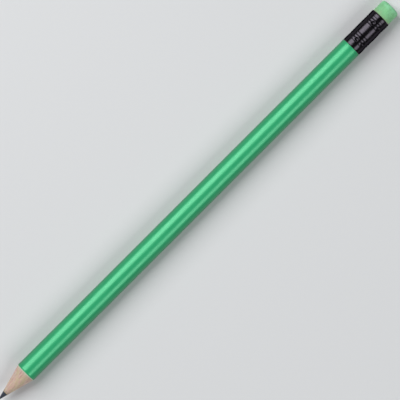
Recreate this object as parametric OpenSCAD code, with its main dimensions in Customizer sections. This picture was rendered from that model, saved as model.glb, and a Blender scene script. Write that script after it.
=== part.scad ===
// Wood-cased graphite pencil with a lacquered round barrel, a crimped ferrule and an eraser.
// It lies along X on the plane z = 0: the point is towards -X and the eraser towards +X.
// The origin is under the middle of its length.

/* [Barrel] */
// Length from the blunt point to the eraser's end
pencil_length = 187.8; // [100:0.1:230]
// Diameter over the lacquer
barrel_d = 7.5; // [6:0.1:12]
// Thickness of the undercoat on the wood
undercoat_t = 0.08; // [0.05:0.01:0.2]
// Thickness of the coloured lacquer on the undercoat
lacquer_t = 0.08; // [0.05:0.01:0.2]

/* [Lead and glue] */
// Diameter of the graphite lead
lead_d = 2; // [1.6:0.1:3]
// Thickness of the glue bed round the lead
glue_bed_t = 0.08; // [0.05:0.01:0.2]
// Thickness of the glue film between the two slats
glue_film_t = 0.08; // [0.05:0.01:0.2]

/* [Point] */
// Full angle of the sharpened cone, in degrees
point_angle = 30.6; // [20:0.2:50]
// Distance from the cone's sharp apex back to the worn tip
tip_wear = 0.3; // [0.2:0.05:0.5]
// Radius of the dome at the worn tip
tip_dome_r = 0.25; // [0.2:0.05:0.4]

/* [Ferrule] */
// Length of the metal ferrule
ferrule_length = 14.3; // [12:0.1:20]
// Wall thickness of the ferrule
ferrule_wall = 0.25; // [0.15:0.01:0.35]
// How far the ferrule's outside lies below the lacquered surface
ferrule_step = 0; // [0:0.01:0.2]
// Length of the turned-down wood inside the ferrule
tenon_length = 7; // [5:0.1:9]

/* [Rolled grooves] */
// Number of grooves in each of the two groups
groove_count = 4; // [2:1:4]
// Distance from one groove to the next
groove_pitch = 1.03; // [0.85:0.01:1.3]
// Depth of a groove
groove_depth = 0.15; // [0.1:0.01:0.22]
// Radius of the roller edge that forms a groove
groove_r = 0.3; // [0.25:0.01:0.42]
// From the ferrule's barrel end to the nearest groove
barrel_groove_inset = 2.3; // [1:0.1:3]
// From the ferrule's eraser end to the nearest groove
eraser_groove_inset = 1.4; // [1:0.1:3]

/* [Punched dimples] */
// Number of dimples round each row
dimple_count = 8; // [3:1:8]
// Angle of the first dimple round the axis, from straight down, in degrees
dimple_turn = 36; // [0:1:90]
// Depth of a dimple
dimple_depth = 0.35; // [0.25:0.01:0.42]
// Radius of the round-nosed punch
punch_r = 1.2; // [0.9:0.05:1.4]
// From the ferrule's barrel end to the row that grips the wood
barrel_row_inset = 3.1; // [2:0.1:4]
// From the ferrule's eraser end to the row that grips the eraser
eraser_row_inset = 3.5; // [2:0.1:5]

/* [Eraser] */
// Length of the eraser that stands out of the ferrule
eraser_out = 5.1; // [2:0.1:12]
// Radius of the eraser's worn edge
eraser_edge_r = 1; // [0.2:0.1:1.5]
// Space between the wood's end and the eraser inside the ferrule
eraser_gap = 0.2; // [0.05:0.05:1]

/* [Hidden] */
$fn = 72;

// Radii, from the outside in
barrel_r = barrel_d / 2;
undercoat_r = barrel_r - lacquer_t;
wood_r = undercoat_r - undercoat_t;
ferrule_r = barrel_r - ferrule_step;
bore_r = ferrule_r - ferrule_wall;
lead_r = lead_d / 2;
channel_r = lead_r + glue_bed_t;

// Stations along the axis, counted from the worn tip
apex_z = -tip_wear;
eraser_top = pencil_length;
ferrule_top = eraser_top - eraser_out;
shoulder = ferrule_top - ferrule_length;
tenon_top = shoulder + tenon_length;
eraser_base = tenon_top + eraser_gap;

// Cutting shapes reach this far past what they cut
overrun = 1;
outside_r = barrel_r + overrun;

// Middle of each groove and of each dimple row
barrel_grooves = [for (i = [0 : groove_count - 1]) shoulder + barrel_groove_inset + i * groove_pitch];
eraser_grooves = [for (i = [0 : groove_count - 1]) ferrule_top - eraser_groove_inset - i * groove_pitch];
grooves = concat(barrel_grooves, eraser_grooves);
dimple_rows = [shoulder + barrel_row_inset, ferrule_top - eraser_row_inset];

// Lays a shape that was made along Z from the tip down along X, on the plane z = 0
module lay_down() {
    translate([-pencil_length / 2, 0, barrel_r]) rotate([0, 90, 0]) children();
}

// Rectangle from the axis out to radius r, between two stations
module bar_2d(r, from, to) {
    translate([0, from]) square([r, to - from]);
}

// Everything inside the sharpener's cone and behind the worn tip
module sharpened_2d() {
    dome_z = tip_dome_r;
    cone_length = outside_r / tan(point_angle / 2);
    intersection() {
        polygon([
            [0, apex_z],
            [outside_r, apex_z + cone_length],
            [outside_r, eraser_top + overrun],
            [0, eraser_top + overrun],
        ]);
        union() {
            bar_2d(outside_r, dome_z, eraser_top + overrun);
            translate([0, dome_z]) circle(tip_dome_r);
        }
    }
}

// A coat or core of the barrel between two radii, cut by the sharpener
module barrel_layer(inner_r, outer_r, to) {
    rotate_extrude() intersection() {
        difference() {
            bar_2d(outer_r, -overrun, to);
            if (inner_r > 0) bar_2d(inner_r, -2 * overrun, to + overrun);
        }
        sharpened_2d();
    }
}

// One row of round-nosed punches, each with its nose at the given depth below the ferrule
module punches(r) {
    for (z = dimple_rows, i = [0 : dimple_count - 1])
        rotate([0, 0, dimple_turn + i * 360 / dimple_count])
            translate([ferrule_r + punch_r - dimple_depth, 0, z]) sphere(r);
}

// A bar with the rolled grooves, pressed in by a roller of radius roller_r
module grooved_bar(r, roller_r, from, to) {
    rotate_extrude() difference() {
        bar_2d(r, from, to);
        for (z = grooves) translate([ferrule_r + groove_r - groove_depth, z]) circle(roller_r);
    }
}

// What fills the ferrule: its bore, with the ridges and dents that the crimping leaves in it
module bore_core(from, to) {
    difference() {
        grooved_bar(bore_r, groove_r + ferrule_wall, from, to);
        punches(punch_r + ferrule_wall);
    }
}

// The turned wood blank, before it is split by the glue
module wood_blank() {
    barrel_layer(0, wood_r, shoulder);
    bore_core(shoulder - overrun, tenon_top);
}

// One of the two slats: side is -1 for the upper one and 1 for the lower one
module slat(side) {
    length = tenon_top + 2 * overrun;
    difference() {
        wood_blank();
        translate([0, 0, -overrun]) cylinder(r = channel_r, h = length);
        translate([side > 0 ? -outside_r : -glue_film_t / 2, -outside_r, -overrun])
            cube([outside_r + glue_film_t / 2, 2 * outside_r, length]);
    }
}

module lead() {
    color("#373e50") lay_down() barrel_layer(0, lead_r, tenon_top);
}

module slat_upper() {
    color("#c8a58c") lay_down() slat(-1);
}

module slat_lower() {
    color("#bb9880") lay_down() slat(1);
}

module glue_seam() {
    length = tenon_top + 2 * overrun;
    color("#d8c8a8") lay_down() difference() {
        intersection() {
            wood_blank();
            union() {
                translate([-glue_film_t / 2, -outside_r, -overrun])
                    cube([glue_film_t, 2 * outside_r, length]);
                translate([0, 0, -overrun]) cylinder(r = channel_r, h = length);
            }
        }
        translate([0, 0, -2 * overrun]) cylinder(r = lead_r, h = length + 2 * overrun);
    }
}

module undercoat() {
    color("#e4e2d6") lay_down() barrel_layer(wood_r, undercoat_r, shoulder);
}

module lacquer() {
    color("#3aa377") lay_down() barrel_layer(undercoat_r, barrel_r, shoulder);
}

module ferrule() {
    color("#1d1c20") lay_down() difference() {
        grooved_bar(ferrule_r, groove_r, shoulder, ferrule_top);
        punches(punch_r);
        bore_core(shoulder - overrun, ferrule_top + overrun);
    }
}

module eraser() {
    rounded_r = bore_r - eraser_edge_r;
    edge_z = eraser_top - eraser_edge_r;
    color("#80be8c") lay_down() {
        bore_core(eraser_base, ferrule_top);
        rotate_extrude() {
            bar_2d(bore_r, ferrule_top, edge_z);
            bar_2d(rounded_r, edge_z - eraser_edge_r, eraser_top);
            translate([rounded_r, edge_z]) circle(eraser_edge_r);
        }
    }
}

lead();
slat_upper();
slat_lower();
glue_seam();
undercoat();
lacquer();
ferrule();
eraser();
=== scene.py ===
"""Wood-cased graphite pencil: the visual model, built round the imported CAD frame.

Lengths are in metres in the frame's own axes: +X runs from the point to the eraser and +Z is up.
Places on the pencil are given as a station x along it, a radius from its axis, and an angle phi
round the axis, counted from straight up towards -Y.
"""

import math

import bmesh
import bpy
import numpy as np
from bpy.props import FloatProperty, FloatVectorProperty, IntProperty, PointerProperty
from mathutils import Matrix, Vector


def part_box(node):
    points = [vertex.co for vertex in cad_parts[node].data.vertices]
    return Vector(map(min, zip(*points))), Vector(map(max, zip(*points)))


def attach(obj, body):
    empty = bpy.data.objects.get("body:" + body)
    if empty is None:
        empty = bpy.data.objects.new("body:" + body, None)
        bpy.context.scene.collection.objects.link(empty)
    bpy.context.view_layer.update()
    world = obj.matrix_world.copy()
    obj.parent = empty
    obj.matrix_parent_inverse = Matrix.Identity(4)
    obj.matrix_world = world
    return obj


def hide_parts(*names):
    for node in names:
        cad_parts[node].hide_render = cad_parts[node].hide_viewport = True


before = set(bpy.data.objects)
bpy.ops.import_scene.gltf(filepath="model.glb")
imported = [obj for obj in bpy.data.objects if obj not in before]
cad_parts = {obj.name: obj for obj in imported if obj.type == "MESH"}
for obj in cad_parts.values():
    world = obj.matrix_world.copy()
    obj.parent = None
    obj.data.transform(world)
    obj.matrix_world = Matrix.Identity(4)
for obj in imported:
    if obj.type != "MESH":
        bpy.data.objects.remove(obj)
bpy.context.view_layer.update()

bl_info = {
    "name": "Wood-cased Pencil",
    "version": (1, 0, 0),
    "blender": (4, 5, 0),
    "location": "3D View > Sidebar > Pencil",
    "description": "Builds a sharpened, lacquered pencil with a crimped ferrule and an eraser",
    "category": "Add Mesh",
}

MM = 0.001

# ---- Places and radii, all from the CAD frame ----

BOX = {node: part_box(node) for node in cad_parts}


def half_height(node):
    """Radius of a round node that lies along X: half of its box's height."""
    low, high = BOX[node]
    return (high[2] - low[2]) / 2


AXIS_Z = (BOX["lacquer"][0][2] + BOX["lacquer"][1][2]) / 2
BARREL_R = half_height("lacquer")
PRIMER_R = half_height("undercoat")
WOOD_R = BOX["slat_upper"][1][2] - AXIS_Z
LEAD_R = half_height("lead")
GLUE_BED_R = half_height("glue_seam")
GLUE_FILM = BOX["slat_upper"][0][2] - BOX["slat_lower"][1][2]
FERRULE_R = half_height("ferrule")
BORE_R = half_height("eraser")

TIP_X = BOX["lead"][0][0]
SHOULDER_X = BOX["lacquer"][1][0]
TENON_END_X = BOX["slat_upper"][1][0]
LEAD_END_X = BOX["lead"][1][0]
ERASER_BASE_X = BOX["eraser"][0][0]
FERRULE_END_X = BOX["ferrule"][1][0]
ERASER_END_X = BOX["eraser"][1][0]

# The sharpener's cone runs through the inner edge of the primer and the front edge of the glue
CONE_SLOPE = (WOOD_R - LEAD_R) / (BOX["undercoat"][0][0] - BOX["glue_seam"][0][0])
APEX_X = BOX["glue_seam"][0][0] - LEAD_R / CONE_SLOPE


def cone_radius(x):
    """Radius of the sharpener's cone at station x: the slope times the distance from the apex."""
    return CONE_SLOPE * (x - APEX_X)


def cone_station(r):
    """Station at which the sharpener's cone has radius r."""
    return APEX_X + r / CONE_SLOPE


# ---- Fine details of form ----

# Number of angles round each piece, and of points on a dome or a rounded corner
LEAD_COLUMNS = 144
SLAT_COLUMNS = 129
COAT_COLUMNS = 288
FERRULE_COLUMNS = 288
ERASER_COLUMNS = 256
DOME_STEPS = 14
CORNER_STEPS = 5

# Repeated points closer than this are merged
MERGE = 2e-7

# The length of a sudden change of radius, and the clearance inside the ferrule
STEP = 0.001 * MM
HAIR = 0.004 * MM

# The worn point, and the depth of the marks that the sharpener leaves in lead and wood
TIP_DOME_R = 0.25 * MM
LEAD_RELIEF = 0.014 * MM
WOOD_RELIEF = 0.022 * MM

# How far the lower slat's grain is shifted from the upper one's
LOWER_SLAT_SHIFT = 13 * MM

# The barrel's coats: chips along the cut edge, the lacquer's unevenness, the rounded end by the
# ferrule, the thin part beside the cut, and the distances of the first points from the cut
PRIMER_CHIP = 0.05 * MM
LACQUER_CHIP = 0.10 * MM
LACQUER_SAG = 0.006 * MM
COAT_END_ROUND = 0.05 * MM
COAT_THINNING = 0.012 * MM
COAT_THINNING_LENGTH = 0.05 * MM
COAT_NEAR_EDGE = np.array([0, 0.02, 0.05, 0.1, 0.18, 0.3, 0.45, 0.65, 0.9, 1.2, 1.6, 2.2]) * MM

# The ferrule's rounded cut edges, its unevenness, and the distance between points along it
FERRULE_EDGE_ROUND = 0.06 * MM
FERRULE_WAVINESS = 0.008 * MM
FERRULE_OUTSIDE_STEP = 0.075 * MM
FERRULE_INSIDE_STEP = 0.2 * MM

# The eraser's wear: all over the stub, more on its edge, and dents in its end
STUB_WEAR = 0.012 * MM
EDGE_WEAR = 0.05 * MM
END_DENT = 0.03 * MM

# ---- The stage ----

FLOOR_HALF = 1.5
FLOOR_LINES = 9
SURROUND_COLOUR = (0.90, 0.95, 1.0)
SURROUND_STRENGTH = 0.09
LIGHT_DISTANCE = 1.0
LIGHT_LENGTH = 0.55
# Each soft box's name, its lean from straight up, its width across the pencil and its radiance
SOFT_BOXES = (
    ("soft_box_wide", math.radians(40.2), 0.83, 6.2),
    ("soft_box_narrow", math.radians(-45.0), 0.51, 4.4),
)
FRAME_WIDTH = 135.1 * MM
LENS = 300
SENSOR_WIDTH = 36
CAMERA_X = 1.98 * MM
CAMERA_Y = -0.42 * MM
CAMERA_TURN = math.radians(-45)
CAMERA_REACH = 20


# ---- Sizes and colours that a user would change ----


def length_property(name, description, default):
    """A length in metres that a user can change."""
    return FloatProperty(
        name=name, description=description, default=default, min=0.0, subtype="DISTANCE", unit="LENGTH"
    )


def colour_property(name, description, default):
    """A colour that a user can change."""
    return FloatVectorProperty(
        name=name, description=description, default=default, min=0.0, max=1.0, size=3, subtype="COLOR"
    )


def share_property(name, place, default):
    """One share for each groove of a group."""
    description = f"Share of the depth that each groove {place} has, from the ferrule's end inwards"
    return FloatVectorProperty(
        name=name, description=description, default=default, min=0.0, max=1.5, size=len(default)
    )


class PencilSizes(bpy.types.PropertyGroup):
    """Sizes of the ferrule's pressed form and of the eraser's end"""

    groove_depth: length_property("Groove depth", "Depth of the ferrule's rolled grooves", 0.11 * MM)
    groove_width: length_property("Groove width", "Half width of a rolled groove", 0.14 * MM)
    barrel_groove_shares: share_property("Barrel grooves", "by the barrel", (0.55, 1.0, 1.1, 0.75))
    eraser_groove_shares: share_property("Eraser grooves", "by the eraser", (0.30, 0.85, 1.0, 0.9))
    groove_pitch: length_property("Groove pitch", "Distance from one groove to the next", 1.03 * MM)
    barrel_groove_inset: length_property("Barrel groove inset", "Barrel end to first groove", 2.3 * MM)
    eraser_groove_inset: length_property("Eraser groove inset", "Eraser end to first groove", 1.4 * MM)
    dimple_count: IntProperty(name="Dimples", description="Dimples round each row", default=8, min=3, max=12)
    dimple_turn: FloatProperty(
        name="Dimple turn",
        description="Angle of the first dimple, from straight up",
        default=math.radians(36),
        subtype="ANGLE",
        unit="ROTATION",
    )
    dimple_depth: length_property("Dimple depth", "Depth of a punched dimple", 0.26 * MM)
    dimple_width: length_property("Dimple width", "Half width of a punched dimple", 0.60 * MM)
    barrel_lip_roll: length_property("Barrel lip roll", "How far the barrel end rolls inwards", 0.13 * MM)
    barrel_lip_length: length_property("Barrel lip length", "Length of the barrel end's roll", 0.90 * MM)
    eraser_lip_roll: length_property("Eraser lip roll", "How far the eraser end rolls inwards", 0.09 * MM)
    eraser_lip_length: length_property("Eraser lip length", "Length of the eraser end's roll", 0.60 * MM)
    barrel_row_inset: length_property("Barrel row inset", "Barrel end to the wood's dimples", 3.1 * MM)
    eraser_row_inset: length_property("Eraser row inset", "Eraser end to the eraser's dimples", 3.5 * MM)
    eraser_edge: length_property("Eraser edge", "Radius of the eraser's worn edge", 1.0 * MM)
    eraser_crown: length_property("Eraser crown", "Height of the eraser's domed end", 0.12 * MM)


class PencilColours(bpy.types.PropertyGroup):
    """Colours of the pencil's finishes and of the floor"""

    lacquer: colour_property("Lacquer", "Green of the barrel's lacquer", (0.026, 0.42, 0.17))
    dust: colour_property("Dust", "Specks of dust in the lacquer", (0.55, 0.62, 0.56))
    primer: colour_property("Primer", "Primer seen at the sharpened edge", (0.62, 0.66, 0.52))
    wood: colour_property("Wood", "Light part of the sharpened wood", (0.74, 0.61, 0.51))
    wood_flush: colour_property("Wood flush", "Pink patches in the wood", (0.74, 0.46, 0.41))
    wood_straw: colour_property("Wood straw", "Straw-coloured patches in the wood", (0.72, 0.61, 0.37))
    wood_dark: colour_property("Wood dark", "Dark fibres and rings in the wood", (0.24, 0.15, 0.11))
    wood_pale: colour_property("Wood pale", "Broad pale fibres in the wood", (0.86, 0.70, 0.54))
    wood_fleck: colour_property("Wood fleck", "Vessel flecks in the wood", (0.33, 0.15, 0.12))
    smudge: colour_property("Smudge", "Graphite dragged over the wood", (0.13, 0.13, 0.14))
    glue: colour_property("Glue", "Dried glue between the slats", (0.55, 0.42, 0.26))
    glue_bubble: colour_property("Glue bubble", "Bubbles in the dried glue", (0.72, 0.64, 0.50))
    graphite: colour_property("Graphite", "Sharpened lead", (0.056, 0.066, 0.088))
    grit: colour_property("Grit", "Bright grains in the sharpened lead", (0.20, 0.21, 0.24))
    ferrule: colour_property("Ferrule", "Black finish of the ferrule", (0.033, 0.030, 0.036))
    bare_metal: colour_property("Bare metal", "Aluminium at the ferrule's cut edges", (0.66, 0.62, 0.56))
    eraser: colour_property("Eraser", "Green of the rubber", (0.225, 0.58, 0.27))
    # Paler rubber at the end: wear, and a painted highlight that lightens the end
    eraser_wear_and_highlight: colour_property("Eraser worn", "Rubber worn pale at its end", (0.29, 0.75, 0.42))
    # Darker rubber by the ferrule: soil, and painted shade beside the ferrule's lip
    eraser_soil_and_shade: colour_property("Eraser soiled", "Soiled rubber by the ferrule", (0.29, 0.42, 0.22))
    floor: colour_property("Floor", "Pale floor under the pencil", (0.74, 0.75, 0.76))


# ---- Surfaces: whole arrays of points, and the faces between them ----


def on_pencil(x, r, phi):
    """Points (x, -r sin phi, axis height + r cos phi) for stations, radii and angles."""
    x, r, phi = np.broadcast_arrays(x, r, phi)
    return np.stack([x, -r * np.sin(phi), AXIS_Z + r * np.cos(phi)], axis=-1)


def full_turn(count):
    """count equal angles round the axis, without the repeated last one."""
    return np.arange(count) * (2 * math.pi / count)


def stations(*stops):
    """Stations along the pencil from (place, number of steps) pairs, each run evenly spaced."""
    runs = [
        np.linspace(start, end, steps, endpoint=False)
        for (start, steps), (end, _) in zip(stops[:-1], stops[1:])
    ]
    return np.concatenate([*runs, [stops[-1][0]]])


def quads(rows, columns, wrap_rows=False, wrap_columns=False):
    """Faces between neighbouring rows and columns of a grid whose points are numbered by row."""
    i, j = np.meshgrid(
        np.arange(rows if wrap_rows else rows - 1),
        np.arange(columns if wrap_columns else columns - 1),
        indexing="ij",
    )
    k, m = (i + 1) % rows, (j + 1) % columns
    corners = [i * columns + j, i * columns + m, k * columns + m, k * columns + j]
    return np.stack(corners, axis=-1).reshape(-1, 4)


def ripple(x, phi, seed, waves, turns, shortest):
    """Smooth noise of about -1 to 1 on the pencil's surface.

    The mean of seeded cosine waves cos(n phi + k x + p), scaled up by the square root of their
    number: n is a whole number of turns up to turns, and 2 pi / k is never under shortest.
    """
    rng = np.random.default_rng(seed)
    total = np.zeros(np.broadcast(x, phi).shape)
    for _ in range(waves):
        n = rng.integers(-turns, turns + 1)
        k = rng.uniform(-1, 1) * 2 * math.pi / shortest
        total += np.cos(n * phi + k * x + rng.uniform(0, 2 * math.pi))
    return total / math.sqrt(waves)


def smooth_step(low, high, value):
    """0 below low, 1 above high, and 3 t^2 - 2 t^3 between them."""
    t = np.clip((value - low) / (high - low), 0, 1)
    return t * t * (3 - 2 * t)


def make_piece(name, node, points, faces, materials, indices=None, sharp_angle=40):
    """A mesh object from an (n, 3) array of points and an (m, 4) array of faces.

    Repeated points at seams, poles and knife edges are merged, the faces that this empties are
    removed, and the rest point outwards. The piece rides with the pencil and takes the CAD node's
    place.
    """
    mesh = bpy.data.meshes.new(name)
    mesh.vertices.add(len(points))
    mesh.vertices.foreach_set("co", points.astype(np.float32).ravel())
    mesh.loops.add(faces.size)
    mesh.loops.foreach_set("vertex_index", faces.astype(np.int32).ravel())
    mesh.polygons.add(len(faces))
    mesh.polygons.foreach_set("loop_start", np.arange(len(faces), dtype=np.int32) * 4)
    if indices is not None:
        mesh.polygons.foreach_set("material_index", indices.astype(np.int32))
    mesh.update(calc_edges=True)

    work = bmesh.new()
    work.from_mesh(mesh)
    bmesh.ops.remove_doubles(work, verts=work.verts, dist=MERGE)
    bmesh.ops.dissolve_degenerate(work, edges=work.edges, dist=MERGE)
    bmesh.ops.recalc_face_normals(work, faces=work.faces)
    work.to_mesh(mesh)
    work.free()

    mesh.shade_smooth()
    mesh.set_sharp_from_angle(angle=math.radians(sharp_angle))
    for material in materials:
        mesh.materials.append(material)
    piece = bpy.data.objects.new(name, mesh)
    bpy.context.scene.collection.objects.link(piece)
    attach(piece, "root")
    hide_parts(node)


def turned(x, r, phi, closed):
    """The profile of stations x and radii r, one column an angle, carried round the axis.

    A closed profile makes a ring. An open one runs from pole to pole and makes a solid.
    """
    points = on_pencil(x, r, phi)
    return points.reshape(-1, 3), quads(*points.shape[:2], wrap_rows=closed, wrap_columns=True)


def between(x, outer_r, outer_phi, inner_r, inner_phi, wrap_columns):
    """The closed shell between two surfaces of the pencil that share their stations x."""
    outer, inner = on_pencil(x, outer_r, outer_phi), on_pencil(x, inner_r, inner_phi)
    rows, columns = outer.shape[:2]
    size = rows * columns
    points = np.concatenate([outer.reshape(-1, 3), inner.reshape(-1, 3)])
    skin = quads(rows, columns, wrap_columns=wrap_columns)
    parts = [skin, skin[:, ::-1] + size]
    at = np.arange(size).reshape(rows, columns)
    ends = (at[0], at[-1]) if wrap_columns else (at[0], at[-1], at[:, 0], at[:, -1])
    for near in ends:
        far = np.roll(near, -1)
        if not wrap_columns:
            near, far = near[:-1], far[:-1]
        parts.append(np.stack([near, far, far + size, near + size], axis=-1))
    return points, np.concatenate(parts)


# ---- Shader nodes ----


def connect(tree, socket, value):
    """Links value to the socket where it is a socket itself, and else sets it there."""
    if isinstance(value, bpy.types.NodeSocket):
        tree.links.new(value, socket)
    else:
        socket.default_value = value


def add(tree, kind, inputs=None, **settings):
    """A new node with its settings, whose inputs are set to values or linked to sockets."""
    node = tree.nodes.new(kind)
    for key, value in settings.items():
        setattr(node, key, value)
    for key, value in (inputs or {}).items():
        connect(tree, node.inputs[key], value)
    return node


def maths(tree, operation, *values, clamp=False):
    """The result of a Math node."""
    node = add(tree, "ShaderNodeMath", dict(enumerate(values)), operation=operation, use_clamp=clamp)
    return node.outputs[0]


def weighed(tree, first, weight, second, other_weight):
    """weight times the first value plus other_weight times the second."""
    one = maths(tree, "MULTIPLY", first, weight)
    return maths(tree, "ADD", one, maths(tree, "MULTIPLY", second, other_weight))


def spread(tree, value, contrast):
    """value taken contrast times as far from a half, and held to 0..1."""
    away = maths(tree, "MULTIPLY", maths(tree, "SUBTRACT", value, 0.5), contrast)
    return maths(tree, "ADD", away, 0.5, clamp=True)


def remap(tree, value, low, high, to_low=0.0, to_high=1.0, **settings):
    """value from low..high to to_low..to_high, held at the ends."""
    ends = {"From Min": low, "From Max": high, "To Min": to_low, "To Max": to_high}
    return add(tree, "ShaderNodeMapRange", {"Value": value, **ends}, **settings).outputs["Result"]


def blend(tree, factor, below, above, mode="MIX"):
    """A Mix node's colour."""
    node = add(tree, "ShaderNodeMix", data_type="RGBA", blend_type=mode)
    for socket, value in zip((node.inputs["Factor"], node.inputs[6], node.inputs[7]), (factor, below, above)):
        connect(tree, socket, value)
    return node.outputs[2]


def opaque(colour):
    """A colour with full alpha."""
    return (*colour, 1.0)


def tint(tree, base, mask, share, colour):
    """base, with up to that share of a colour where the mask says so."""
    return blend(tree, maths(tree, "MULTIPLY", mask, share), base, opaque(colour))


def shades(tree, mask, colour, low, high=1.0):
    """A colour times low where the mask is 0, and times high where it is 1."""
    return blend(tree, mask, opaque(c * low for c in colour), opaque(c * high for c in colour))


def mapped(tree, place, **settings):
    """A place moved, turned or stretched by a Mapping node."""
    return add(tree, "ShaderNodeMapping", {"Vector": place, **settings}).outputs["Vector"]


def in_mm(tree, place, scale=(1, 1, 1)):
    """A place in millimetres, stretched by a scale for each axis."""
    return mapped(tree, place, Scale=[s / MM for s in scale])


def noise(tree, place, scale, detail, roughness=0.5):
    """A Noise node's value."""
    inputs = {"Vector": place, "Scale": scale, "Detail": detail, "Roughness": roughness}
    return add(tree, "ShaderNodeTexNoise", inputs).outputs["Fac"]


def shader_group(name, numbers, output):
    """A new node group that takes Place and the named numbers, with its inputs and its one output."""
    group = bpy.data.node_groups.new(name, "ShaderNodeTree")
    group.interface.new_socket(name="Place", in_out="INPUT", socket_type="NodeSocketVector")
    for socket, default in numbers.items():
        made = group.interface.new_socket(name=socket, in_out="INPUT", socket_type="NodeSocketFloat")
        made.default_value = default
    group.interface.new_socket(name=output, in_out="OUTPUT", socket_type="NodeSocketFloat")
    return group, group.nodes.new("NodeGroupInput").outputs, group.nodes.new("NodeGroupOutput").inputs[output]


def build_fine_streaks():
    """Fine lines along the pencil: noise stretched along X, sharpened round its middle value."""
    group, given, result = shader_group("Fine streaks", {"Lines per mm": 8.0, "Contrast": 1.0}, "Streaks")
    stretched = in_mm(group, given["Place"], (0.05, 1, 1))
    value = noise(group, stretched, given["Lines per mm"], detail=4.0, roughness=0.65)
    group.links.new(spread(group, value, given["Contrast"]), result)
    return group


def build_mottle():
    """Soft patches: noise of two sizes, one a quarter of the other."""
    group, given, result = shader_group("Mottle", {"Patches per mm": 0.5, "Contrast": 1.0}, "Mottle")
    place = in_mm(group, given["Place"])
    coarse = noise(group, place, given["Patches per mm"], detail=2.0)
    fine = noise(group, place, maths(group, "MULTIPLY", given["Patches per mm"], 4.0), detail=3.0)
    both = weighed(group, coarse, 0.65, fine, 0.35)
    group.links.new(spread(group, both, given["Contrast"]), result)
    return group


def build_specks():
    """Sparse specks: the middles of Voronoi cells, kept in the cells whose random value is low."""
    group, given, result = shader_group(
        "Specks", {"Stretch": 1.0, "Cells per mm": 2.0, "Share": 0.2, "Size": 0.3}, "Specks"
    )
    along = maths(group, "DIVIDE", 1 / MM, given["Stretch"])
    scale = add(group, "ShaderNodeCombineXYZ", {"X": along, "Y": 1 / MM, "Z": 1 / MM}).outputs[0]
    stretched = mapped(group, given["Place"], Scale=scale)
    cells = add(group, "ShaderNodeTexVoronoi", {"Vector": stretched, "Scale": given["Cells per mm"]})
    random = add(group, "ShaderNodeSeparateColor", {"Color": cells.outputs["Color"]}).outputs["Red"]
    kept = maths(group, "LESS_THAN", random, given["Share"])
    away, full = cells.outputs["Distance"], maths(group, "MULTIPLY", given["Size"], 0.4)
    core = remap(group, away, given["Size"], full, interpolation_type="SMOOTHSTEP")
    group.links.new(maths(group, "MULTIPLY", core, kept), result)
    return group


def build_edge_rub():
    """A band beside an edge at one station, for wear, dirt, painted shade and painted highlight: it fades
    over a width and is broken up by noise.
    """
    group, given, result = shader_group("Edge rub", {"Edge": 0.0, "Width": MM, "Breaks per mm": 3.0}, "Rub")
    x = add(group, "ShaderNodeSeparateXYZ", {"Vector": given["Place"]}).outputs["X"]
    away = maths(group, "ABSOLUTE", maths(group, "SUBTRACT", x, given["Edge"]))
    near = maths(group, "SUBTRACT", 1.0, maths(group, "DIVIDE", away, given["Width"]), clamp=True)
    patchy = noise(group, in_mm(group, given["Place"]), given["Breaks per mm"], detail=5.0, roughness=0.65)
    worn = maths(group, "ADD", maths(group, "MULTIPLY", patchy, 1.6), maths(group, "SUBTRACT", near, 1.3))
    masked = maths(group, "MULTIPLY", maths(group, "MULTIPLY", worn, 2.5, clamp=True), near)
    group.links.new(masked, result)
    return group


GROUP_BUILDERS = {
    "Fine streaks": build_fine_streaks,
    "Mottle": build_mottle,
    "Specks": build_specks,
    "Edge rub": build_edge_rub,
}


def effect(tree, name, place, **values):
    """One of the shared effects, placed in a material with its own values."""
    group = bpy.data.node_groups.get(name) or GROUP_BUILDERS[name]()
    node = add(tree, "ShaderNodeGroup", node_tree=group)
    tree.links.new(place, node.inputs["Place"])
    for key, value in values.items():
        node.inputs[key.replace("_", " ")].default_value = value
    return node.outputs[0]


# ---- Materials ----


def new_material(name, **uniform):
    """A material, its node tree, its Principled shader with uniform values, and Object coordinates."""
    material = bpy.data.materials.new(name)
    material.use_nodes = True
    tree = material.node_tree
    shader = tree.nodes["Principled BSDF"]
    for key, value in uniform.items():
        shader.inputs[key.replace("_", " ")].default_value = value
    place = add(tree, "ShaderNodeTexCoord").outputs["Object"]
    return material, tree, shader, place


def vary_roughness(tree, shader, mask, low, high, span=(0.3, 0.7)):
    """Roughness from low to high while the mask goes over the span."""
    tree.links.new(remap(tree, mask, *span, low, high), shader.inputs["Roughness"])


def finish(tree, shader, base, height, depth):
    """Links the base colour, and a height of 0 to 1 as relief of that depth in metres."""
    tree.links.new(base, shader.inputs["Base Color"])
    node = add(tree, "ShaderNodeBump", {"Strength": 1.0, "Distance": depth, "Height": height})
    tree.links.new(node.outputs["Normal"], shader.inputs["Normal"])


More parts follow.
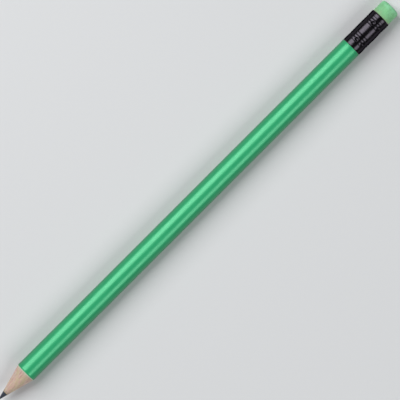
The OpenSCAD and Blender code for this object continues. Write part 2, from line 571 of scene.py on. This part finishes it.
def green_lacquer(colours):
    """Glossy green lacquer with fine flakes drawn out along the barrel, a little dust, and painted shade
    where it turns from the view.
    """
    material, tree, shader, place = new_material(
        "Green lacquer", Metallic=0.14, Coat_Weight=0.1, Coat_Roughness=0.15, Coat_IOR=1.5, IOR=1.40
    )
    cells = add(tree, "ShaderNodeTexVoronoi", {"Vector": in_mm(tree, place), "Scale": 14.0})
    flake = add(tree, "ShaderNodeSeparateColor", {"Color": cells.outputs["Color"]}).outputs["Green"]
    drawn = effect(tree, "Fine streaks", place, Lines_per_mm=3.0, Contrast=1.2)
    patches = effect(tree, "Mottle", place, Patches_per_mm=0.12, Contrast=1.0)
    mix = weighed(tree, flake, 0.35, drawn, 0.25)
    mix = maths(tree, "ADD", mix, maths(tree, "MULTIPLY", patches, 0.4), clamp=True)
    dust = effect(tree, "Specks", place, Cells_per_mm=0.9, Share=0.10, Size=0.10)
    deep = opaque(c * 0.80 for c in colours.lacquer)
    light = opaque(c * 1.22 + 0.004 for c in colours.lacquer)
    base = blend(tree, mix, deep, light)
    # Painted shade, partly the flop of its flat-lying flakes: the colour darkens where the lacquer turns from
    # the view
    facing = add(tree, "ShaderNodeLayerWeight", {"Blend": 0.5}).outputs["Facing"]
    base = blend(tree, 1.0, base, remap(tree, facing, 0.12, 0.75, 1.0, 0.52), mode="MULTIPLY")
    base = tint(tree, base, dust, 0.25, colours.dust)
    vary_roughness(tree, shader, patches, 0.30, 0.37)
    finish(tree, shader, base, weighed(tree, drawn, 0.8, flake, 0.2), 0.0012 * MM)
    return material


def chalky_primer(colours):
    """Pale matte primer with fine pits."""
    material, tree, shader, place = new_material("Chalky primer", Roughness=0.8)
    patches = effect(tree, "Mottle", place, Patches_per_mm=3.0, Contrast=1.6)
    finish(tree, shader, shades(tree, patches, colours.primer, 0.78), patches, 0.01 * MM)
    return material


def sharpened_wood(colours, name, shift):
    """Bare wood: growth rings across it, fibres and vessel flecks along it, and tool marks.

    shift moves the pattern, so that the two slats are cut from different places in the wood.
    """
    material, tree, shader, place = new_material(name)
    moved = mapped(tree, place, Location=(shift, shift * 0.7, shift * 0.4))
    rings_place = mapped(tree, moved, Rotation=(0.5, 0.03, 0.02), Scale=(0.08 / MM, 1 / MM, 1 / MM))
    rings = add(
        tree,
        "ShaderNodeTexWave",
        {"Vector": rings_place, "Scale": 0.33, "Distortion": 2.2, "Detail": 3.0, "Detail Scale": 0.8},
        wave_type="BANDS",
        bands_direction="Y",
        wave_profile="SIN",
    ).outputs["Fac"]
    # Fibres are flattened upright, so that the cone's slope cuts them into long streaks
    upright = mapped(tree, moved, Scale=(1, 1, 0.25))
    fibres = effect(tree, "Fine streaks", upright, Lines_per_mm=9.0, Contrast=2.0)
    broad_fibres = effect(tree, "Fine streaks", upright, Lines_per_mm=2.2, Contrast=1.8)
    flecks = effect(tree, "Specks", upright, Stretch=12.0, Cells_per_mm=3.6, Share=0.35, Size=0.32)
    drawn_out = mapped(tree, moved, Scale=(0.45, 1, 1))
    flush = effect(tree, "Mottle", drawn_out, Patches_per_mm=0.55, Contrast=4.0)
    straw = effect(tree, "Mottle", drawn_out, Patches_per_mm=0.38, Contrast=4.0)
    # Graphite dragged back over the wood by the sharpener
    smudge = effect(tree, "Edge rub", place, Edge=cone_station(LEAD_R), Width=2.4 * MM, Breaks_per_mm=5.0)

    dark = opaque(colours.wood_dark)
    base = blend(tree, flush, opaque(colours.wood), opaque(colours.wood_flush))
    base = blend(tree, remap(tree, straw, 0.4, 0.9, 0.0, 0.75), base, opaque(colours.wood_straw))
    base = blend(tree, maths(tree, "MULTIPLY", rings, 0.16), base, dark)
    base = blend(tree, remap(tree, fibres, 0.25, 0.9, 0.34, 0.0), base, dark)
    base = blend(tree, remap(tree, broad_fibres, 0.55, 0.9, 0.0, 0.25), base, opaque(colours.wood_pale))
    base = tint(tree, base, flecks, 0.45, colours.wood_fleck)
    base = tint(tree, base, smudge, 0.55, colours.smudge)
    vary_roughness(tree, shader, fibres, 0.72, 0.52, span=(0.2, 0.8))

    marks = noise(tree, in_mm(tree, place, (1.3, 0.12, 0.12)), 1.0, detail=4.0, roughness=0.6)
    height = weighed(tree, weighed(tree, fibres, 0.6, marks, 0.35), 1.0, flecks, -0.4)
    finish(tree, shader, base, height, 0.03 * MM)
    return material


def dried_glue(colours):
    """Amber glue film with tiny bubbles."""
    material, tree, shader, place = new_material("Dried glue", Roughness=0.35, IOR=1.47)
    bubbles = effect(tree, "Specks", place, Cells_per_mm=9.0, Share=0.35, Size=0.3)
    patches = effect(tree, "Mottle", place, Patches_per_mm=1.5, Contrast=2.0)
    base = blend(tree, bubbles, shades(tree, patches, colours.glue, 0.75), opaque(colours.glue_bubble))
    finish(tree, shader, base, bubbles, 0.008 * MM)
    return material


def cut_graphite(colours):
    """Dark grey lead with a metallic sheen, ground in fine rings and lines by the sharpener."""
    material, tree, shader, place = new_material("Cut graphite", Metallic=0.5, IOR=1.45)
    lines = effect(tree, "Fine streaks", place, Lines_per_mm=14.0, Contrast=2.2)
    patches = effect(tree, "Mottle", place, Patches_per_mm=2.0, Contrast=2.4)
    grit = effect(tree, "Specks", place, Cells_per_mm=12.0, Share=0.3, Size=0.35)
    mix = weighed(tree, lines, 0.5, patches, 0.5)
    base = blend(tree, grit, shades(tree, mix, colours.graphite, 0.55, 1.7), opaque(colours.grit))
    vary_roughness(tree, shader, mix, 0.50, 0.34)
    rings = noise(tree, in_mm(tree, place, (7.0, 0.6, 0.6)), 1.0, detail=4.0, roughness=0.65)
    finish(tree, shader, base, weighed(tree, rings, 0.4, mix, 0.6), 0.012 * MM)
    return material


def black_ferrule(colours):
    """Black anodised metal with hairline scratches, and rubbed spots at the cut ends."""
    material, tree, shader, place = new_material(
        "Black ferrule lacquer", Metallic=1.0, Specular_Tint=(0.3, 0.3, 0.3, 1.0)
    )
    scratches = effect(tree, "Fine streaks", place, Lines_per_mm=11.0, Contrast=2.6)
    patches = effect(tree, "Mottle", place, Patches_per_mm=0.7, Contrast=2.0)
    rub_here = effect(tree, "Edge rub", place, Edge=SHOULDER_X, Width=0.35 * MM, Breaks_per_mm=2.5)
    rub_there = effect(tree, "Edge rub", place, Edge=FERRULE_END_X, Width=0.45 * MM, Breaks_per_mm=2.5)
    base = shades(tree, patches, colours.ferrule, 0.9, 1.15)
    base = tint(tree, base, maths(tree, "MAXIMUM", rub_here, rub_there), 0.7, colours.bare_metal)
    vary_roughness(tree, shader, patches, 0.20, 0.27)
    finish(tree, shader, base, scratches, 0.0015 * MM)
    return material


def bare_aluminium(colours):
    """Sheared aluminium edge: bright metal with a fine burr."""
    material, tree, shader, place = new_material("Bare aluminium edge", Metallic=1.0)
    burr = effect(tree, "Mottle", place, Patches_per_mm=5.0, Contrast=2.2)
    vary_roughness(tree, shader, burr, 0.28, 0.48)
    finish(tree, shader, shades(tree, burr, colours.bare_metal, 0.6), burr, 0.01 * MM)
    return material


def green_rubber(colours):
    """Matte vulcanised rubber: fine pores with painted shade, soft patches, an end paler from wear and a
    painted highlight, and soil and painted shade by the ferrule.
    """
    material, tree, shader, place = new_material("Green rubber", IOR=1.45)
    patches = effect(tree, "Mottle", place, Patches_per_mm=0.6, Contrast=3.0)
    pores = effect(tree, "Specks", place, Cells_per_mm=7.0, Share=0.4, Size=0.32)
    # The end is paler from wear, and from a painted highlight that lightens it towards the end
    worn = effect(tree, "Edge rub", place, Edge=ERASER_END_X, Width=5.0 * MM, Breaks_per_mm=0.8)
    # Darker by the ferrule: soil, and painted shade beside the ferrule's lip
    soil_and_shade = effect(tree, "Edge rub", place, Edge=FERRULE_END_X, Width=3.2 * MM, Breaks_per_mm=0.8)
    base = shades(tree, patches, colours.eraser, 0.84, 1.10)
    base = tint(tree, base, worn, 0.75, colours.eraser_wear_and_highlight)
    base = tint(tree, base, soil_and_shade, 0.55, colours.eraser_soil_and_shade)
    # The pores are darkened: painted shade in the pits
    base = tint(tree, base, pores, 0.30, [c * 0.5 for c in colours.eraser])
    vary_roughness(tree, shader, patches, 0.52, 0.66)
    finish(tree, shader, base, weighed(tree, patches, 0.5, pores, -0.5), 0.02 * MM)
    return material


def pale_floor(colours):
    """Matte pale floor with a barely visible tooth."""
    material, tree, shader, place = new_material("Pale floor", Roughness=0.85)
    tooth = effect(tree, "Mottle", place, Patches_per_mm=0.6, Contrast=1.0)
    tree.links.new(shades(tree, tooth, colours.floor, 0.985), shader.inputs["Base Color"])
    return material


# ---- The ferrule's form, which the tenon and the eraser inside it share ----


def crimp_depth(x, phi, sizes):
    """How far the crimped ferrule lies below its plain tube at station x and angle phi.

    Each rolled groove is its share of the depth times exp(-(distance / width)^2) along the axis.
    Each punched dimple is a share exp(-(distance / width)^2.2) over the surface, which presses that
    share of the way from the grooves down to the dimple's depth. Each end rolls in by roll times
    (1 - distance / length)^2.
    """
    depth = 0 * x
    for first, inwards, shares in (
        (SHOULDER_X + sizes.barrel_groove_inset, 1, sizes.barrel_groove_shares),
        (FERRULE_END_X - sizes.eraser_groove_inset, -1, sizes.eraser_groove_shares),
    ):
        for number, share in enumerate(shares):
            at = first + inwards * number * sizes.groove_pitch
            depth = depth + share * sizes.groove_depth * np.exp(-(((x - at) / sizes.groove_width) ** 2))
    pitch = 2 * math.pi / sizes.dimple_count
    around = (np.mod(phi - sizes.dimple_turn + pitch / 2, pitch) - pitch / 2) * FERRULE_R
    for row in (SHOULDER_X + sizes.barrel_row_inset, FERRULE_END_X - sizes.eraser_row_inset):
        away = np.hypot(x - row, around) / sizes.dimple_width
        pressed = np.exp(-(away**2.2))
        depth = depth * (1 - pressed) + sizes.dimple_depth * pressed
    for end, roll, length in (
        (SHOULDER_X, sizes.barrel_lip_roll, sizes.barrel_lip_length),
        (FERRULE_END_X, sizes.eraser_lip_roll, sizes.eraser_lip_length),
    ):
        near = np.clip(1 - np.abs(x - end) / length, 0, 1)
        depth = depth + roll * near**2
    return depth


def held_radius(x, phi, sizes):
    """Radius of what fills the ferrule's bore, a hair inside the crimped wall."""
    return BORE_R - crimp_depth(x, phi, sizes) - HAIR


# ---- Operators: one for each piece or pair of like pieces, and one for the stage ----


class PENCIL_OT_lead(bpy.types.Operator):
    """Build the graphite lead with its ground point"""

    bl_idname = "pencil.lead"
    bl_label = "Lead"

    def execute(self, context):
        """Profile: a dome at the worn tip, the cone, the round core, and a flat end.

        The dome is an arc of a circle that meets the cone, r = R sin a and x = tip + R (1 - cos a).
        The cone carries shallow irregular cutting rings, r = cone - relief (1 + noise) / 2.
        """
        turn = full_turn(LEAD_COLUMNS)
        # The dome's circle is centred its radius behind the tip, and crosses the cone at meet
        centre = TIP_X + TIP_DOME_R
        reach = centre - APEX_X
        b = 1 + CONE_SLOPE**2
        meet = APEX_X + (reach - math.sqrt(reach**2 - b * (reach**2 - TIP_DOME_R**2))) / b
        arc_end = math.acos((centre - meet) / TIP_DOME_R)
        arc = np.linspace(0, arc_end, DOME_STEPS)[:-1]
        cone_end = cone_station(LEAD_R)
        core_x = stations((meet, 90), (cone_end, 6), (cone_end + 3 * MM, 12), (LEAD_END_X, 0))
        core_r = np.minimum(cone_radius(core_x), LEAD_R)
        x = np.concatenate([centre - TIP_DOME_R * np.cos(arc), core_x, [LEAD_END_X] * 2])[:, None]
        r = np.concatenate([TIP_DOME_R * np.sin(arc), core_r, [LEAD_R * 0.5, 0]])[:, None]
        on_cone = (x > meet) & (x < cone_end)
        relief = LEAD_RELIEF * smooth_step(meet, meet + 0.4 * MM, x)
        rings = 0.6 * ripple(x, 0 * turn, seed=12, waves=24, turns=0, shortest=0.14 * MM)
        rings = rings + 0.4 * ripple(x, turn, seed=11, waves=30, turns=7, shortest=0.3 * MM)
        r = r - np.where(on_cone, relief * np.clip(0.5 + 0.5 * rings, 0, 1.2), 0)
        points, faces = turned(x, np.maximum(r, 0), turn, closed=False)
        graphite = cut_graphite(context.scene.pencil_colours)
        make_piece("graphite_lead", "lead", points, faces, [graphite])
        return {"FINISHED"}


def wood_radius(x, phi, sizes):
    """Outer radius of the wood: the sharpener's cone, then the barrel under its coats, then the tenon.

    The cone is cut by a shallow wavy tool mark, relief times (1 + noise) / 2 below the true cone.
    """
    relief = WOOD_RELIEF * smooth_step(GLUE_BED_R, GLUE_BED_R + 0.1 * MM, cone_radius(x))
    wave = 0.4 * ripple(x, 0 * phi, seed=22, waves=24, turns=0, shortest=0.35 * MM)
    wave = wave + 0.6 * ripple(x, phi, seed=21, waves=40, turns=14, shortest=0.6 * MM)
    cone = cone_radius(x) - relief * np.clip(0.5 + 0.5 * wave, 0, 1.2)
    barrel = np.minimum(cone, WOOD_R)
    tenon = held_radius(x, phi, sizes)
    return np.where(x > SHOULDER_X, tenon, barrel)


def wood_stations():
    """Stations of the wood: close on the cone and the tenon, wide between them."""
    start, edge = cone_station(GLUE_BED_R), cone_station(WOOD_R)
    tenon = ((SHOULDER_X, 1), (SHOULDER_X + STEP, 70), (TENON_END_X, 0))
    return stations((start, 150), (edge, 4), (edge + 2 * MM, 12), *tenon)


class PENCIL_OT_slats(bpy.types.Operator):
    """Build the two grooved wood slats"""

    bl_idname = "pencil.slats"
    bl_label = "Wood slats"

    def execute(self, context):
        """Each slat is the shell between its outside and its lead channel over half a turn.

        At radius r its flat faces lie at the height of half the glue film, so the angle there is
        a quarter turn less arcsin(half film / r).
        """
        sizes, colours = context.scene.pencil_sizes, context.scene.pencil_colours
        x = wood_stations()[:, None]
        share = np.linspace(-1, 1, SLAT_COLUMNS)[None, :]
        for name, node, middle, material, shift in (
            ("wood_slat_upper", "slat_upper", 0.0, "Sharpened wood", 0.0),
            ("wood_slat_lower", "slat_lower", math.pi, "Sharpened wood lower", LOWER_SLAT_SHIFT),
        ):
            rough_phi = middle + share * math.pi / 2
            outer_r = wood_radius(x, rough_phi, sizes)
            outer_phi = middle + share * (math.pi / 2 - np.arcsin(GLUE_FILM / 2 / outer_r))
            inner_r = np.full_like(outer_r, GLUE_BED_R)
            inner_r[0] = outer_r[0]
            inner_phi = middle + share * (math.pi / 2 - np.arcsin(GLUE_FILM / 2 / inner_r))
            points, faces = between(x, outer_r, outer_phi, inner_r, inner_phi, wrap_columns=False)
            wood = sharpened_wood(colours, material, shift)
            make_piece(name, node, points, faces, [wood])
        return {"FINISHED"}


class PENCIL_OT_glue(bpy.types.Operator):
    """Build the glue between the slats and round the lead"""

    bl_idname = "pencil.glue"
    bl_label = "Glue seam"

    def execute(self, context):
        """The shell between a ring with two flat wings and the lead.

        Its outline at one station, round the axis: the glue bed's radius, and at each side the
        film's corners at arcsin(half film / radius) above and below the glue plane.
        """
        sizes = context.scene.pencil_sizes
        start, edge = cone_station(LEAD_R), cone_station(WOOD_R)
        tenon = ((SHOULDER_X, 1), (SHOULDER_X + STEP, 60), (TENON_END_X, 0))
        x = stations((start, 8), (cone_station(GLUE_BED_R), 80), (edge, 12), *tenon)[:, None]
        side = math.pi / 2
        bed_r = np.minimum(cone_radius(x), GLUE_BED_R)
        film_r = np.minimum(wood_radius(x, side, sizes), np.where(x > SHOULDER_X, BORE_R, WOOD_R))
        film_r = np.maximum(film_r, bed_r)
        bed_corner = np.arcsin(GLUE_FILM / 2 / bed_r)
        film_corner = np.arcsin(GLUE_FILM / 2 / film_r)
        share = np.linspace(-1, 1, 25)[None, :]
        angles, radii = [], []
        for middle in (0.0, math.pi):
            bed = middle + share * (side - bed_corner)
            film = middle + side + np.concatenate([-film_corner, 0 * film_corner, film_corner], axis=1)
            angles += [bed, film]
            radii += [np.broadcast_to(bed_r, bed.shape), np.broadcast_to(film_r, film.shape)]
        phi, outer_r = np.concatenate(angles, axis=1), np.concatenate(radii, axis=1)
        points, faces = between(x, outer_r, phi, LEAD_R, phi, wrap_columns=True)
        glue = dried_glue(context.scene.pencil_colours)
        make_piece("glue_film", "glue_seam", points, faces, [glue], sharp_angle=30)
        return {"FINISHED"}


def coat(name, node, slot, inner_r, outer_r, seed, chip, sag, material):
    """Builds a coat of the barrel, cut by the sharpener's cone and rounded where it ends at the ferrule.

    Its closed profile is the cut face on the cone, the outside, the rounded end and the inside.
    The cut edge is set back by small chips, chip times the noise's peaks. The outside lies sag
    times (1 + slow noise) / 2 below the coat's full radius, and thins by exp(-distance / length)
    beside the cut.
    """
    turn = full_turn(COAT_COLUMNS)[None, :]
    edge_noise = ripple(0.0, turn, seed=seed, waves=40, turns=46, shortest=1.0)
    coarse_noise = ripple(0.0, turn, seed=seed + 1, waves=12, turns=9, shortest=1.0)
    setback = chip * (np.clip(edge_noise - 0.35, 0, 2) ** 1.5 + 0.25 * (1 + coarse_noise) / 2)
    cut_outside = cone_station(outer_r) + setback
    cut_inside = cone_station(inner_r) + setback

    outside_start = cut_outside + COAT_NEAR_EDGE[:, None]
    middle = np.linspace(0, 1, 130)[1:-1, None]
    start, end = outside_start[-1:], SHOULDER_X - COAT_END_ROUND
    outside_x = np.concatenate([outside_start, start + (end - start) * middle])
    corner = np.linspace(0, math.pi / 2, CORNER_STEPS)[:, None]
    corner_x = np.broadcast_to(end + COAT_END_ROUND * np.sin(corner), (CORNER_STEPS, turn.size))
    inside_share = np.linspace(1, 0, 40)[:, None]
    inside_x = cut_inside + (SHOULDER_X - cut_inside) * inside_share

    slow = 0.5 + 0.5 * ripple(outside_x, turn, seed=seed + 2, waves=24, turns=3, shortest=9 * MM)
    thinning = COAT_THINNING * np.exp(-((outside_x - cut_outside) / COAT_THINNING_LENGTH))
    outside_r = outer_r - sag * np.clip(slow, 0, 1) - thinning
    corner_r = np.broadcast_to(outer_r - sag - COAT_END_ROUND * (1 - np.cos(corner)), corner_x.shape)
    inside_r = np.full_like(inside_x, inner_r)
    x = np.concatenate([outside_x, corner_x, inside_x])
    r = np.concatenate([outside_r, corner_r, inside_r])
    points, faces = turned(x, r, turn, closed=True)
    make_piece(name, node, points, faces, [material], sharp_angle=35)


class PENCIL_OT_coats(bpy.types.Operator):
    """Build the primer and the green lacquer"""

    bl_idname = "pencil.coats"
    bl_label = "Primer and lacquer"

    def execute(self, context):
        """The primer lies on the wood and the lacquer on the primer."""
        colours = context.scene.pencil_colours
        primer, lacquer = chalky_primer(colours), green_lacquer(colours)
        coat("primer_coat", "undercoat", "primer", WOOD_R, PRIMER_R, 31, PRIMER_CHIP, 0.0, primer)
        form = (PRIMER_R, BARREL_R, 41, LACQUER_CHIP, LACQUER_SAG)
        coat("lacquer_coat", "lacquer", "green_lacquer", *form, lacquer)
        return {"FINISHED"}


class PENCIL_OT_ferrule(bpy.types.Operator):
    """Build the rolled and punched ferrule"""

    bl_idname = "pencil.ferrule"
    bl_label = "Ferrule"

    def execute(self, context):
        """The tube's closed profile: outside, rounded lip, inside, rounded lip.

        The outside is the plain radius less the crimp's depth, and the inside is the same less
        the wall, so the wall is equally thick all over, as in pressed sheet.
        """
        sizes, colours = context.scene.pencil_sizes, context.scene.pencil_colours
        turn = full_turn(FERRULE_COLUMNS)[None, :]
        round_r = FERRULE_EDGE_ROUND
        corner = np.linspace(0, math.pi / 2, CORNER_STEPS)[1:-1, None]
        length = FERRULE_END_X - SHOULDER_X
        start, end = SHOULDER_X + round_r, FERRULE_END_X - round_r
        outside_x = np.linspace(start, end, int(length / FERRULE_OUTSIDE_STEP))[:, None]
        inside_x = np.linspace(end, start, int(length / FERRULE_INSIDE_STEP))[:, None]
        slow = ripple(outside_x, turn, 51, waves=18, turns=4, shortest=2.5 * MM)
        waviness = FERRULE_WAVINESS * (0.5 + 0.5 * slow)
        outside_r = FERRULE_R - crimp_depth(outside_x, turn, sizes) - np.clip(waviness, 0, None)
        inside_r = BORE_R - crimp_depth(inside_x, turn, sizes)

        def lip(end_x, outwards, roll):
            """The two quarter-round corners of a cut end, from outside to inside."""
            face_x = end_x - outwards * round_r
            outer, inner = FERRULE_R - roll, BORE_R - roll
            first_x = face_x + outwards * round_r * np.sin(corner)
            first_r = outer - round_r * (1 - np.cos(corner))
            flat_r = [[outer - round_r], [(outer + inner) / 2], [inner + round_r]]
            last_x = face_x + outwards * round_r * np.cos(corner)
            last_r = inner + round_r * (1 - np.sin(corner))
            return np.concatenate([first_x, [[end_x]] * 3, last_x]), np.concatenate([first_r, flat_r, last_r])

        far_x, far_r = lip(FERRULE_END_X, 1, sizes.eraser_lip_roll)
        near_x, near_r = lip(SHOULDER_X, -1, sizes.barrel_lip_roll)
        around = np.ones_like(turn)
        x = np.concatenate([outside_x, far_x, inside_x, near_x[::-1]])
        r = np.concatenate([outside_r, far_r * around, inside_r, near_r[::-1] * around])
        points, faces = turned(x, r, turn, closed=True)
        row = np.repeat(np.arange(len(x)), turn.size)
        far_rows = (row >= len(outside_x) + 1) & (row < len(outside_x) + len(far_x) - 1)
        near_rows = (row >= len(x) - len(near_x)) & (row < len(x) - 2)
        bare = far_rows | near_rows
        metals = [black_ferrule(colours), bare_aluminium(colours)]
        make_piece("crimped_ferrule", "ferrule", points, faces, metals, indices=bare)
        return {"FINISHED"}


class PENCIL_OT_eraser(bpy.types.Operator):
    """Build the rubber eraser"""

    bl_idname = "pencil.eraser"
    bl_label = "Eraser"

    def execute(self, context):
        """Profile: a flat base, the part gripped by the crimp, the plain stub, a rounded edge and
        a slightly domed end.

        The edge is a quarter circle, and the end rises by crown (1 - (r / edge start)^2). The stub
        and the edge are worn below that form by wear times (1 + noise) / 2.
        """
        sizes = context.scene.pencil_sizes
        turn = full_turn(ERASER_COLUMNS)[None, :]
        edge, crown = sizes.eraser_edge, sizes.eraser_crown
        gripped_x = stations((ERASER_BASE_X, 96), (FERRULE_END_X, 1), (FERRULE_END_X + STEP, 0))[:, None]
        stub_x = stations((FERRULE_END_X + 0.05 * MM, 40), (ERASER_END_X - edge - crown, 0))[:, None]
        corner = np.linspace(0, math.pi / 2, 20)[1:, None]
        corner_x = ERASER_END_X - crown - edge * (1 - np.sin(corner))
        flat_r = BORE_R - edge
        corner_r = flat_r + edge * np.cos(corner)
        disc = np.linspace(1, 0, 40)[1:, None]
        disc_x = ERASER_END_X - crown * disc**2
        disc_r = flat_r * disc

        x = np.concatenate([[[ERASER_BASE_X]] * 2, gripped_x, stub_x, corner_x, disc_x])
        gripped_r = held_radius(gripped_x[:-1], turn, sizes)
        pinch = sizes.eraser_lip_roll + HAIR
        mouth_r = np.array([[BORE_R - pinch]])
        stub_r = BORE_R - pinch * (1 - smooth_step(0, 0.35 * MM, stub_x - FERRULE_END_X))
        base_r = np.array([[0.0], [BORE_R / 2]])
        around = np.ones_like(turn)
        plain_r = np.concatenate([mouth_r, stub_r, corner_r, disc_r])
        r = np.concatenate([base_r * around, gripped_r, plain_r * around])
        exposed = smooth_step(FERRULE_END_X + 0.1 * MM, FERRULE_END_X + 0.6 * MM, x)
        lumps = 0.5 + 0.5 * ripple(x, turn, 61, waves=40, turns=7, shortest=1.4 * MM)
        edge_wear = smooth_step(ERASER_END_X - 1.6 * edge, ERASER_END_X - 0.5 * edge, x)
        wear = (STUB_WEAR + EDGE_WEAR * edge_wear) * exposed * np.clip(lumps, 0, 1.3)
        r = np.maximum(r - wear * (r / BORE_R), 0)
        dents = 0.5 + 0.5 * ripple(r * 3, turn, 62, waves=20, turns=5, shortest=1.5 * MM)
        sink = END_DENT * edge_wear * np.clip(dents, 0, 1)
        out = r / BORE_R
        at_end = np.where(x > ERASER_END_X - crown - 0.2 * MM, (1 - out**4) * out, 0)
        points, faces = turned(x - sink * at_end, r, turn, closed=False)
        rubber = green_rubber(context.scene.pencil_colours)
        make_piece("rubber_eraser", "eraser", points, faces, [rubber])
        return {"FINISHED"}


class PENCIL_OT_stage(bpy.types.Operator):
    """Build the floor, the lights and the camera"""

    bl_idname = "pencil.stage"
    bl_label = "Stage"

    def execute(self, context):
        """The floor, the lights and the camera, and plain colours in the picture."""
        scene = context.scene
        scene.view_settings.view_transform = "Standard"
        self.lay_floor(scene)
        self.hang_lights(scene)
        self.place_camera(scene)
        return {"FINISHED"}

    def lay_floor(self, scene):
        """A flat square under the pencil, in a grid so that it is more than one face."""
        side = np.linspace(-FLOOR_HALF, FLOOR_HALF, FLOOR_LINES)
        x, y = np.meshgrid(side, side, indexing="ij")
        points = np.stack([x, y, np.zeros_like(x)], axis=-1).reshape(-1, 3)
        mesh = bpy.data.meshes.new("floor")
        mesh.from_pydata(points.tolist(), [], quads(FLOOR_LINES, FLOOR_LINES)[:, ::-1].tolist())
        mesh.materials.append(pale_floor(scene.pencil_colours))
        floor = bpy.data.objects.new("floor", mesh)
        scene.collection.objects.link(floor)

    def hang_lights(self, scene):
        """Two long soft boxes beside the pencil, each facing it, and a dim even surround."""
        target = Vector((0, 0, AXIS_Z))
        for name, lean, across, radiance in SOFT_BOXES:
            light = bpy.data.lights.new(name, "AREA")
            light.shape = "RECTANGLE"
            light.size = LIGHT_LENGTH
            light.size_y = across
            light.energy = radiance * math.pi * LIGHT_LENGTH * across
            lamp = bpy.data.objects.new(name, light)
            lamp.location = target + LIGHT_DISTANCE * Vector((0, math.sin(lean), math.cos(lean)))
            lamp.rotation_euler = (-lean, 0, 0)
            lamp.visible_camera = False
            scene.collection.objects.link(lamp)
        world = bpy.data.worlds.new("Studio surround")
        world.use_nodes = True
        background = world.node_tree.nodes["Background"]
        background.inputs["Color"].default_value = opaque(SURROUND_COLOUR)
        background.inputs["Strength"].default_value = SURROUND_STRENGTH
        scene.world = world

    def place_camera(self, scene):
        """A long lens straight above, turned so that the pencil runs from lower left to upper right."""
        camera = bpy.data.cameras.new("camera")
        camera.lens = LENS
        camera.sensor_width = SENSOR_WIDTH
        camera.clip_end = CAMERA_REACH
        distance = FRAME_WIDTH * LENS / SENSOR_WIDTH
        eye = bpy.data.objects.new("camera", camera)
        eye.location = (CAMERA_X, CAMERA_Y, AXIS_Z + distance)
        eye.rotation_euler = (0, 0, CAMERA_TURN)
        scene.collection.objects.link(eye)
        scene.camera = eye


class VIEW3D_PT_pencil(bpy.types.Panel):
    """Lists the pencil's pieces, sizes and colours in the sidebar"""

    bl_idname = "VIEW3D_PT_pencil"
    bl_label = "Pencil"
    bl_space_type = "VIEW_3D"
    bl_region_type = "UI"
    bl_category = "Pencil"

    def draw(self, context):
        layout = self.layout
        for operator in BUILD_ORDER:
            layout.operator(operator.bl_idname)
        for group in (context.scene.pencil_sizes, context.scene.pencil_colours):
            column = layout.column(align=True)
            for name in group.__annotations__:
                column.prop(group, name)


BUILD_ORDER = (
    PENCIL_OT_stage,
    PENCIL_OT_lead,
    PENCIL_OT_slats,
    PENCIL_OT_glue,
    PENCIL_OT_coats,
    PENCIL_OT_ferrule,
    PENCIL_OT_eraser,
)
CLASSES = (PencilSizes, PencilColours, *BUILD_ORDER, VIEW3D_PT_pencil)


def register():
    """Registers the classes and gives every scene its sizes and colours."""
    for cls in CLASSES:
        bpy.utils.register_class(cls)
    bpy.types.Scene.pencil_sizes = PointerProperty(type=PencilSizes)
    bpy.types.Scene.pencil_colours = PointerProperty(type=PencilColours)


def unregister():
    """Undoes register."""
    del bpy.types.Scene.pencil_colours
    del bpy.types.Scene.pencil_sizes
    for cls in reversed(CLASSES):
        bpy.utils.unregister_class(cls)


def main():
    """Builds everything in order."""
    register()
    for operator in BUILD_ORDER:
        getattr(bpy.ops.pencil, operator.bl_idname.split(".")[1])()


if __name__ == "__main__":
    main()
